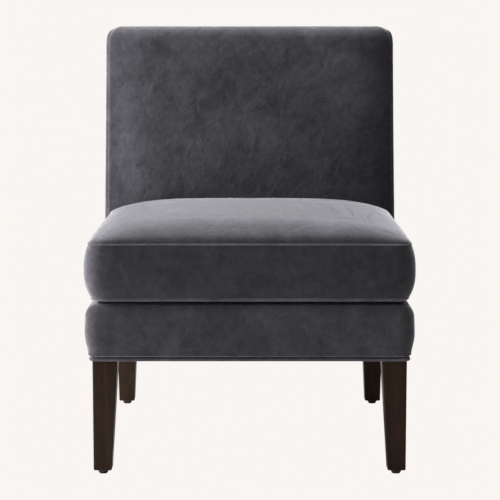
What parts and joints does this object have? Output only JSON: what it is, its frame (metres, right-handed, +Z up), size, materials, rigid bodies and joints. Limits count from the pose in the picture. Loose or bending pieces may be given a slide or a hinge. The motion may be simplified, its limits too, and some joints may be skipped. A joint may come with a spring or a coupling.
{
  "type": "accent chair",
  "caption": "Armless upholstered accent chair with a boxed loose seat cushion, a raked padded back, a welted base and tapered wooden legs on glides, for sitting.",
  "frame": {"origin": "on the floor, under the centre of the chair's bounding box", "axes": "+Z up, -Y the way the chair faces, +X to the right of someone looking at its front"},
  "size_m": [0.608, 0.6577, 0.822],
  "materials": {
    "velvet": "charcoal velvet with a short brushed nap",
    "leg_wood": "espresso stained, satin lacquer",
    "wood_frame": "bare sawn hardwood",
    "glide_plastic": "moulded dark plastic",
    "zinc_steel": "zinc plated",
    "webbing": "woven elastic webbing",
    "foam": "open-cell foam",
    "wadding": "polyester fibre wadding",
    "deck_cloth": "plain woven lining",
    "dust_cloth": "black spun-bonded cloth",
    "card": "pressed fibre card",
    "zipper_tape": "woven tape with a moulded coil",
    "zipper_metal": "dark enamelled"
  },
  "bodies": {
    "chair": {"front_rail": "wood_frame", "back_rail": "wood_frame", "left_side_rail": "wood_frame", "right_side_rail": "wood_frame", "left_back_post": "wood_frame", "right_back_post": "wood_frame", "top_back_rail": "wood_frame", "lower_back_rail": "wood_frame", "front_left_corner_block": "wood_frame", "front_right_corner_block": "wood_frame", "rear_left_corner_block": "wood_frame", "rear_right_corner_block": "wood_frame", "front_left_leg": "leg_wood", "front_right_leg": "leg_wood", "rear_left_leg": "leg_wood", "rear_right_leg": "leg_wood", "front_left_glide": "glide_plastic", "front_right_glide": "glide_plastic", "rear_left_glide": "glide_plastic", "rear_right_glide": "glide_plastic", "leg_bolts": "zinc_steel", "leg_washers": "zinc_steel", "leg_nuts": "zinc_steel", "glide_nails": "zinc_steel", "corner_block_screws": "zinc_steel", "back_frame_screws": "zinc_steel", "dust_cover_staples": "zinc_steel", "seat_webbing_lengthwise": "webbing", "seat_webbing_crosswise": "webbing", "back_webbing_upright": "webbing", "back_webbing_crosswise": "webbing", "back_foam": "foam", "border_pad": "foam", "deck_pad": "foam", "back_wadding": "wadding", "base_cover": "velvet", "base_welt": "velvet", "inside_back_cover": "velvet", "outside_back_cover": "velvet", "left_back_gusset": "velvet", "right_back_gusset": "velvet", "deck_cloth": "deck_cloth", "dust_cover": "dust_cloth", "tack_strip": "card"},
    "cushion": {"cushion_top_panel": "velvet", "cushion_boxing": "velvet", "cushion_bottom_panel": "velvet", "cushion_top_welt": "velvet", "cushion_bottom_welt": "velvet", "cushion_core": "foam", "cushion_wrap": "wadding", "zipper": "zipper_tape"},
    "zipper_slider_body": {"zipper_slider": "zipper_metal"}
  },
  "joints": [
    {"name": "cushion_lift", "type": "slide", "parent": "chair", "child": "cushion", "axis": [0, 0, 1], "range_m": [0, 0.25]},
    {"name": "zipper_slide", "type": "slide", "parent": "cushion", "child": "zipper_slider_body", "axis": [-1, 0, 0], "range_m": [0, 0.44]}
  ]
}
